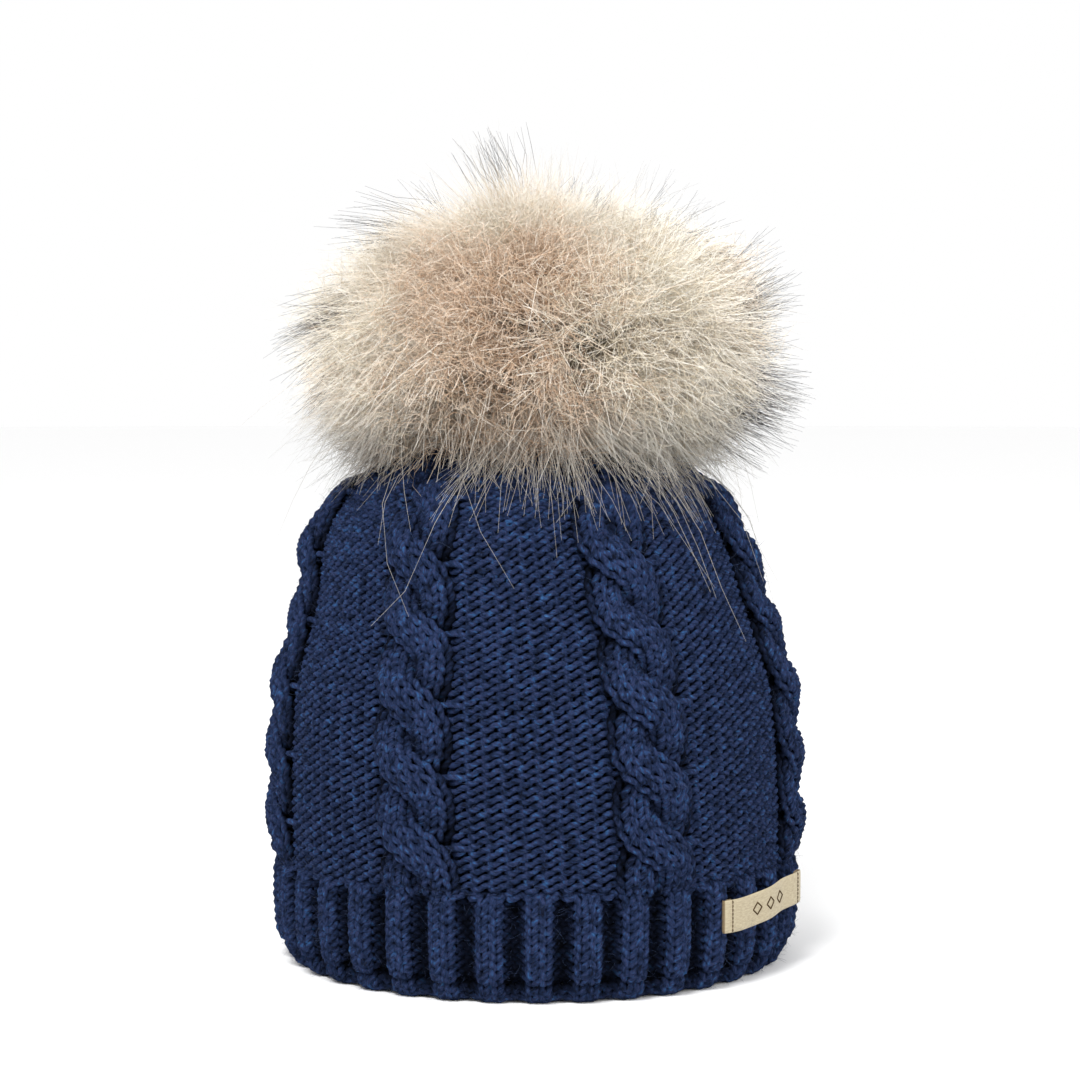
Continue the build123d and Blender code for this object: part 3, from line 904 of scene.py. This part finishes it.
def finish_cad_parts():
    """Gives the parts that are kept from the frame their materials."""
    brass = mottled_material(
        "worn_brass", (0.42, 0.27, 0.10), (0.80, 0.57, 0.27), 900.0, 0.30, 0.03 * MM, 1.0,
    )
    steel = mottled_material(
        "spring_steel", (0.42, 0.43, 0.45), (0.62, 0.63, 0.66), 1500.0, 0.28, 0.02 * MM, 1.0,
    )
    plastic = mottled_material(
        "black_plastic", (0.012, 0.012, 0.013), (0.024, 0.024, 0.026), 600.0, 0.5, 0.05 * MM,
    )
    felt = mottled_material(
        "black_felt", (0.004, 0.004, 0.005), (0.022, 0.022, 0.025), 1400.0, 0.95, 0.5 * MM,
    )
    kept = {
        brass: ("snap_cap", "snap_socket", "snap_stud", "stud_rivet"),
        steel: ("socket_spring_ring",),
        plastic: ("pom_base_disc",),
        felt: ("crown_felt_disc",),
    }
    for material, names in kept.items():
        for name in names:
            mesh = NODES[name].data
            mesh.materials.clear()
            mesh.materials.append(material)


def thread_material(name, dark, light):
    """Sewing thread, which is twisted more tightly than yarn."""
    return yarn_material(name, [(0.35, dark), (0.65, light)], 0.9)


fuzz_material = mottled_material(
    "yarn_fibre", (0.010, 0.018, 0.05), (0.035, 0.065, 0.15), 300.0, 0.7, 0.02 * MM,
)
fleece = fleece_material("navy_fleece", (0.003, 0.004, 0.010), (0.010, 0.014, 0.032))
navy_thread = thread_material("navy_sewing_thread", (0.003, 0.004, 0.01), (0.02, 0.03, 0.075))
brown_thread = thread_material("brown_thread", (0.05, 0.028, 0.012), (0.13, 0.08, 0.04))
white_thread = thread_material("white_thread", (0.55, 0.54, 0.51), (0.80, 0.79, 0.76))
ribbon_cloth = woven_material("beige_ribbon", (0.24, 0.195, 0.12), (0.43, 0.37, 0.25), 0.30, 0.05 * MM)
satin = woven_material("white_satin", (0.68, 0.68, 0.67), (0.84, 0.84, 0.83), 0.16, 0.03 * MM)
suede = mottled_material("suede", (0.42, 0.33, 0.24), (0.60, 0.50, 0.38), 500.0, 0.9, 0.3 * MM)
fluff = mottled_material(
    "polyester_wadding", (0.74, 0.73, 0.71), (0.88, 0.87, 0.85), 300.0, 0.95, 1.2 * MM,
)

make_knitting()
make_lining()
make_fuzz()
make_threads()
make_side_label()
make_care_label()
make_pom_inside()
finish_cad_parts()


# ---------------------------------------------------------------- the fur pom
PELT_CENTRE = np.array([0, 0, 204.5]) * MM
PELT_RADII = np.array([35.2, 35.2, 27.0]) * MM
STRAND_SIDES = 3
LOCK_HAIRS = 9
HAIRS_PER_PIECE = 6600

# How far the lie of the hair swirls, the heights in mm over which painted shade darkens its underside, and
# how dark it gets
SWIRL = 0.42
UNDERSIDE = (158.0, 190.0)
UNDERSIDE_PAINTED_SHADE = 0.45

# How far hair keeps from the fabric's middle, how much further over the cables, which end at a height
# in the crown, and the height over which no hair can reach the knitting
HAIR_GAP = 2.2 * MM
CABLE_GAP = 2.4 * MM
CABLE_TOP = 162 * MM
CLEAR_Z = 178 * MM
# The turns of the pom, in degrees, at which long hair is bent clear and short hair is cut short
WISP_TURNS = (0, 5, -5, 0)
TRIM_TURNS = (0, 3, -3)

# Wisps of dark-tipped hair: the way each stands, its number of hairs, its spread and its length in mm
DARK_WISPS = [
    ((0.95, -0.08, -0.36), 800, 0.11, 58),
    ((0.99, -0.05, -0.02), 280, 0.14, 55),
    ((0.93, 0.05, 0.28), 140, 0.15, 53),
    ((0.75, 0.05, 0.60), 60, 0.10, 48),
    ((-0.90, -0.25, 0.30), 90, 0.07, 56),
    ((-0.98, -0.15, 0.00), 120, 0.15, 54),
    ((-0.60, -0.05, 0.78), 45, 0.08, 50),
    ((-0.12, -0.10, 0.98), 36, 0.03, 45),
    ((0.42, 0.00, 0.90), 27, 0.07, 34),
    ((-0.30, 0.75, 0.45), 120, 0.14, 54),
    ((0.45, 0.85, -0.10), 120, 0.16, 53),
]
# Wisps of pale hair that hang over the knitting, written the same way
PALE_WISPS = [
    ((-0.02, -0.86, -0.50), 225, 0.11, 64),
    ((0.18, -0.84, -0.52), 198, 0.10, 66),
    ((-0.40, -0.75, -0.52), 99, 0.08, 58),
    ((0.50, -0.70, -0.52), 120, 0.09, 64),
    ((0.10, 0.84, -0.52), 300, 0.20, 62),
]


def directions(count, lowest, rng):
    """Directions spread evenly over a ball, down to a lowest height on it."""
    z = 1 - (1 - lowest) * (np.arange(count) + 0.5) / count
    turn = np.arange(count) * math.pi * (3 - math.sqrt(5)) + rng.normal(0, 0.4, count)
    flat = np.sqrt(1 - z**2)
    return np.stack([flat * np.cos(turn), flat * np.sin(turn), z], -1)


def waves(d, rng, count=6, scale=3.0):
    """A smooth random field over directions, between about -1 and 1."""
    k = rng.normal(0, scale, (count, 3))
    return np.sin(d @ k.T + rng.uniform(0, TAU, count)).sum(-1) / math.sqrt(count / 2) / 1.5


def combed(d):
    """The way hair lies at a place on the pelt: outwards, flattened, hanging a little, in soft swirls."""
    way = d * np.array([1, 1, 0.60])
    way[:, 2] += 0.02 - 0.68 * smoothstep((0.15 - d[:, 2]) / 0.9)
    rng = np.random.default_rng(41)
    swirl = np.stack([waves(d, rng, scale=8.0) for _ in range(3)], -1)
    return unit(unit(way) + SWIRL * swirl)


def hair_paths(d, length, steps, rng, spread, lift=0.35, droop=0.0, crimp=0.0, clump=None, clumping=0.0):
    """Curved hairs that stand on the pelt at directions d. Returns (hairs, steps, 3)."""
    count = len(d)
    root = PELT_CENTRE + d * PELT_RADII
    way = unit(combed(d) + rng.normal(0, spread, (count, 3)))
    tip = root + way * length[:, None]
    tip[:, 2] -= droop * length**2 / (50 * MM)
    if clump is not None:
        home = tip.copy()
        centre_tip = np.zeros((clump.max() + 1, 3))
        members = np.bincount(clump, minlength=len(centre_tip))[:, None]
        np.add.at(centre_tip, clump, tip)
        centre_tip /= np.maximum(members, 1)
        share = clumping * rng.uniform(0.5, 1.1, (count, 1))
        tip = home + (centre_tip[clump] - home) * share
    knee = root + d * (lift * length[:, None])
    t = np.linspace(0, 1, steps)[None, :, None]
    path = root[:, None] * (1 - t) ** 2 + 2 * knee[:, None] * t * (1 - t) + tip[:, None] * t**2
    if crimp:
        side = unit(np.cross(way, rng.normal(size=(count, 3))))
        other = np.cross(way, side)
        phase = rng.uniform(0, TAU, (count, 1, 2))
        rate = rng.uniform(0.7, 1.4, (count, 1, 1)) * length[:, None, None] / (10 * MM) * TAU
        swing = crimp * t * np.sin(rate * t + phase)
        path = path + side[:, None] * swing[..., :1] + other[:, None] * swing[..., 1:]
    return path


def out_of_knit(points):
    """How far points are out of the knitting's skin, negative inside it, and the way out of it."""
    near_pom = slice(np.searchsorted(profile[:, 1], 100 * MM), None, 4)
    outward = np.stack([profile_tangent[:, 1], -profile_tangent[:, 0]], -1)[near_pom]
    proud = HAIR_GAP + CABLE_GAP * smoothstep((CABLE_TOP - profile[near_pom, 1]) / (20 * MM))
    skin = profile[near_pom] + outward * proud[:, None]
    gap, way = np.ones(len(points)), np.zeros((len(points), 3))
    low = np.flatnonzero(points[:, 2] < CLEAR_Z)
    x, y, z = points[low].T
    across = np.maximum(np.hypot(x, y), MM)
    gaps = np.stack([across, z], -1)[:, None] - skin
    closest = (gaps**2).sum(-1).argmin(1)
    gap[low] = (gaps[np.arange(len(low)), closest] * outward[closest]).sum(-1)
    out, up = outward[closest].T
    way[low] = np.stack([x / across * out, y / across * out, up], -1)
    return gap, way


def rocked(points, turn):
    """Points of the pom with it rocked by a turn in degrees."""
    rock = next(joint for joint in frame["joints"] if joint["name"] == "pom_rock")
    pivot = np.array(rock["pos_m"], float)
    spin = np.array(Matrix.Rotation(math.radians(turn), 3, Vector(rock["axis"])))
    return (points - pivot) @ spin.T + pivot


def bent_clear(paths):
    """Hairs bent out of the knitting, at rest and with the pom rocked by each of WISP_TURNS in degrees."""
    points = paths.reshape(-1, 3)
    for turn in WISP_TURNS:
        moved = rocked(points, turn)
        gap, way = out_of_knit(moved)
        points = rocked(moved + way * np.maximum(-gap, 0)[:, None], -turn)
    return points.reshape(paths.shape)


def trimmed(paths):
    """Hairs cut short where they reach the knitting, rocked or not, and the share of each that is left."""
    count, steps = paths.shape[:2]
    points = paths.reshape(-1, 3)
    gap = np.min([out_of_knit(rocked(points, turn))[0] for turn in TRIM_TURNS], 0).reshape(count, steps)
    inside = gap < 0
    first = np.maximum(inside.argmax(1), 1)
    before, after = gap[np.arange(count), first - 1], gap[np.arange(count), first]
    share = (first - 1 + before / np.maximum(before - after, 1e-9)) / (steps - 1)
    share = np.where(inside.any(1), np.clip(share, 0.1, 1), 1)
    at = np.linspace(0, 1, steps) * share[:, None] * (steps - 1)
    below = np.minimum(at.astype(int), steps - 2)
    part = (at - below)[..., None]
    row = np.arange(count)[:, None]
    return paths[row, below] * (1 - part) + paths[row, below + 1] * part, share


def hair_object(name, paths, thickness, taper, tone, dark, material, bent=False):
    """Tapered hairs as one piece, trimmed or else bent clear of the knitting.

    tone and dark are numbers per hair, or one number for them all.
    """
    paths, share = (bent_clear(paths), np.ones(len(paths))) if bent else trimmed(paths)
    count, steps = paths.shape[:2]
    along = np.linspace(0, 1, steps)
    radius = thickness * (1 - (1 - taper) * along[None] ** 1.5)
    normals = np.broadcast_to(np.array([0.31, 0.17, 0.93]), paths.shape)
    vertices, quads, _ = tubes(paths, normals, radius, STRAND_SIDES)

    def spread_out(values):
        return np.repeat(np.broadcast_to(values, (count, steps)).ravel(), STRAND_SIDES)

    floats = {
        "along": spread_out(along * share[:, None]),
        "tone": spread_out(np.reshape(tone, (-1, 1))),
        "dark": spread_out(np.reshape(dark, (-1, 1))),
        "height": spread_out(paths[..., 2] / MM),
    }
    return new_object(name, vertices, quads, "pom", material, floats=floats)


def near(d, x, y, z, wide):
    """1 at a direction on the pom and 0 beyond an angle of wide radians from it."""
    gap = np.arccos(np.clip(d @ unit(np.array([x, y, z], float)), -1, 1))
    return 1 - smoothstep(gap / wide)


def brownness(d, rng):
    """How taupe the fur is at a place: its front, middle and back against its creamy sides and top."""
    stripe = smoothstep((d[:, 0] + 0.85) / 0.45) * (1 - smoothstep((d[:, 0] - 0.05) / 0.45))
    stripe *= 1 - 0.75 * smoothstep((d[:, 2] - 0.50) / 0.40)
    # taupe also rises towards the bottom, which darkens the fur there
    low = smoothstep((0.0 - d[:, 2]) / 0.6) * (1 - smoothstep((d[:, 0] - 0.2) / 0.4))
    return np.clip(0.85 * stripe + 0.25 * low + 0.32 * waves(d, rng, scale=4.0), 0, 1)


def make_fur():
    rng = np.random.default_rng(7)
    wool = fur_material(
        "woolly_underfur",
        [
            (0.0, (0.50, 0.42, 0.30)), (0.5, (0.82, 0.75, 0.60)),
            (0.8, (0.94, 0.89, 0.78)), (1.0, (0.97, 0.95, 0.89)),
        ],
        [
            (0.0, (0.33, 0.21, 0.135)), (0.5, (0.59, 0.395, 0.26)),
            (0.8, (0.75, 0.56, 0.41)), (1.0, (0.88, 0.75, 0.62)),
        ],
        0.8,
    )
    silky = fur_material(
        "silky_overhair",
        [(0.0, (0.58, 0.50, 0.37)), (0.4, (0.89, 0.83, 0.70)), (1.0, (0.97, 0.94, 0.88))],
        [(0.0, (0.34, 0.22, 0.14)), (0.5, (0.66, 0.46, 0.32)), (1.0, (0.90, 0.79, 0.66))],
        0.55,
    )

    def roots(count, lowest, scatter):
        """The directions at which hairs stand: even, and then scattered a little."""
        return unit(directions(count, lowest, rng) + rng.normal(0, scatter, (count, 3)))

    def reach(d, base, cropped=0.80):
        """Hair length at a place, shorter over the top by a share, and where the darkest hairs stand."""
        over = smoothstep((d[:, 2] - 0.05) / 0.95)
        worn = 0.12 * near(d, 0.95, -0.05, -0.30, 0.6)
        ragged = 0.09 * waves(d, np.random.default_rng(11), scale=2.5)
        return base * (1 - cropped * over) * (1 - worn + ragged)

    def facing(d):
        """1 in the middle of the pom's front and back, where hairs stand end on and wool covers them."""
        return smoothstep((np.abs(d[:, 1]) - 0.50) / 0.40)

    def tone_at(d, share, spread):
        """How taupe each hair at a place is, with a spread from hair to hair."""
        own = rng.normal(0, spread, len(d))
        return np.clip(brownness(d, np.random.default_rng(5)) * share + own, 0, 1)

    # Woolly underfur, in tufts
    count = HAIRS_PER_PIECE
    tufts = directions(1300, -0.85, rng)
    tuft_rng = np.random.default_rng(99)
    tuft_size = uneven(tuft_rng, len(tufts), 0.13)
    tuft_tone = tuft_rng.normal(0, 0.26, len(tufts))
    for k in range(4):
        d = roots(count, -0.85, 0.03)
        clump = np.concatenate([(part @ tufts.T).argmax(1) for part in np.array_split(d, 8)])
        length = reach(d, 40 * MM) * tuft_size[clump] * (1.12 - 0.55 * rng.random(count) ** 1.6)
        paths = hair_paths(d, length, 6, rng, 0.20, droop=0.07, crimp=2.2 * MM, clump=clump, clumping=0.24)
        tone = np.clip(tone_at(d, 1.0, 0.15) + tuft_tone[clump], 0, 1)
        hair_object(f"pom_underfur_{k + 1}", paths, 0.145 * MM, 0.5, tone, 0, wool)
    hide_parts("pom_fur")

    # Curly ends of the wool, tangled at its surface
    for k in range(4):
        d = roots(count, -0.85, 0.03)
        length = reach(d, 40 * MM) * rng.uniform(0.55, 0.98, count)
        base = hair_paths(d, length, 3, rng, 0.14, droop=0.07)[:, -1]
        way = unit(d + rng.normal(0, 0.85, (count, 3)))
        curl = unit(np.cross(way, rng.normal(size=(count, 3))))
        t = np.linspace(0, 1, 6)[None, :, None]
        size = rng.uniform(6, 17, (count, 1, 1)) * MM
        wind = rng.uniform(0.6, 1.5, (count, 1, 1)) * TAU * t + rng.uniform(0, TAU, (count, 1, 1))
        loop = curl[:, None] * np.cos(wind) + np.cross(way, curl)[:, None] * np.sin(wind)
        paths = base[:, None] + size * (way[:, None] * t + 0.19 * loop)
        hair_object(f"pom_wool_ends_{k + 1}", paths, 0.09 * MM, 0.4, tone_at(d, 0.85, 0.22), 0, wool)

    # Silky hairs that stand past the wool
    for k in range(2):
        d = roots(count, -0.80, 0.05)
        length = reach(d, 49 * MM, 0.50) * (1.14 - 0.55 * rng.random(count) ** 1.3)
        length *= 1 - 0.30 * facing(d)
        paths = hair_paths(d, length, 6, rng, 0.22, droop=0.10, crimp=1.3 * MM)
        dark = near(d, 0.97, 0.0, -0.35, 0.45) * (rng.random(count) < 0.6)
        hair_object(f"pom_overhair_{k + 1}", paths, 0.085 * MM, 0.3, tone_at(d, 0.5, 0.18), dark, silky)

    # Long guard hairs with dark tips, in wisps
    count = 4600
    d = roots(count, -0.75, 0.05)
    wisps = directions(300, -0.75, rng)
    clump = (d @ wisps.T).argmax(1)
    wisp_size = rng.uniform(0.88, 1.18, len(wisps))[clump]
    length = reach(d, 54 * MM, 0.5) * rng.uniform(0.8, 1.06, count) * wisp_size
    length *= 1 + 0.40 * smoothstep((d[:, 2] - 0.25) / 0.6) * (rng.random(len(wisps)) ** 2.2)[clump]
    length *= 1 - 0.25 * facing(d)
    paths = hair_paths(d, length, 7, rng, 0.15, droop=0.10, crimp=0.7 * MM, clump=clump, clumping=0.50)
    dark = np.clip(0.35 + 0.55 * waves(d, rng, scale=4.0), 0, 1)
    dark *= (rng.random(count) < 0.75) * (1 - facing(d))
    tone = np.clip(rng.normal(0.30, 0.25, count), 0, 1)
    hair_object("pom_guard_hairs", paths, 0.10 * MM, 0.12, tone, dark, silky)

    def locks_of(wisps):
        """The paths of hairs that stand in locks."""
        d, length = [], []
        for way, hairs, spread, longest in wisps:
            locks = max(hairs // LOCK_HAIRS, 1)
            lock_way = unit(np.array(way)) + rng.normal(0, spread, (locks, 3))
            lock_length = longest * MM * rng.uniform(0.70, 1.10, locks)
            d.append(np.repeat(lock_way, LOCK_HAIRS, 0))
            length.append(np.repeat(lock_length, LOCK_HAIRS))
        d, length = np.concatenate(d), np.concatenate(length)
        clump = np.arange(len(d)) // LOCK_HAIRS
        d = unit(d + rng.normal(0, 0.09, d.shape))
        length = length * rng.uniform(0.75, 1.06, len(d))
        return hair_paths(
            d, length, 7, rng, 0.12, droop=0.06, crimp=1.0 * MM, clump=clump, clumping=0.75,
        )

    paths = locks_of(DARK_WISPS)
    dark = rng.uniform(0.85, 1.0, len(paths))
    hair_object("pom_dark_wisps", paths, 0.15 * MM, 0.25, 0.2, dark, silky, bent=True)
    paths = locks_of(PALE_WISPS)
    tone = np.clip(rng.normal(0.35, 0.2, len(paths)), 0, 1)
    hair_object("pom_pale_wisps", paths, 0.11 * MM, 0.3, tone, 0, silky, bent=True)

    # A few long pale hairs that have strayed over the rest
    count = 150
    d = directions(count * 3, -0.6, rng)
    d = unit(d[rng.permutation(len(d))[:count]] + rng.normal(0, 0.2, (count, 3)))
    length = 64 * MM * rng.uniform(0.7, 1.1, count) * (1 - 0.25 * smoothstep(d[:, 2]))
    paths = hair_paths(d, length, 9, rng, 0.38, lift=0.55, droop=0.38)
    tone = rng.uniform(0, 0.2, count)
    hair_object("pom_stray_hairs", paths, 0.14 * MM, 0.25, tone, 0, silky, bent=True)


make_fur()


# ---------------------------------------------------------------- stage, light and camera
def aim(ob, point):
    direction = Vector(point) - ob.location
    ob.rotation_euler = direction.to_track_quat("-Z", "Y").to_euler()


def make_camera():
    camera = bpy.data.objects.new("camera", bpy.data.cameras.new("camera"))
    bpy.context.scene.collection.objects.link(camera)
    camera.location = (0.0015, -0.94, 0.20)
    camera.data.lens = 96
    camera.data.sensor_width = 36
    aim(camera, (0.0015, 0, 0.1355))
    bpy.context.scene.camera = camera


def area_light(name, location, size, power):
    data = bpy.data.lights.new(name, "AREA")
    data.shape = "DISK"
    data.size = size
    data.energy = power
    light = bpy.data.objects.new(name, data)
    bpy.context.scene.collection.objects.link(light)
    light.location = location
    aim(light, (0, 0, 0.12))


def make_stage():
    bpy.ops.mesh.primitive_circle_add(vertices=96, radius=6, fill_type="NGON")
    floor = bpy.context.object
    floor.name = "floor"
    floor.data.materials.append(Look("floor").finished((0.97, 0.97, 0.97), 0.9))
    world = bpy.data.worlds.new("studio")
    world.use_nodes = True
    colour, strength = world.node_tree.nodes["Background"].inputs[:2]
    colour.default_value, strength.default_value = (1, 1, 1, 1), 1.0
    bpy.context.scene.world = world
    area_light("key", (-0.35, -0.9, 1.3), 0.6, 22)
    area_light("fill", (0.9, -0.9, 0.7), 0.9, 6)
    bpy.context.scene.view_settings.view_transform = "Standard"


make_camera()
make_stage()
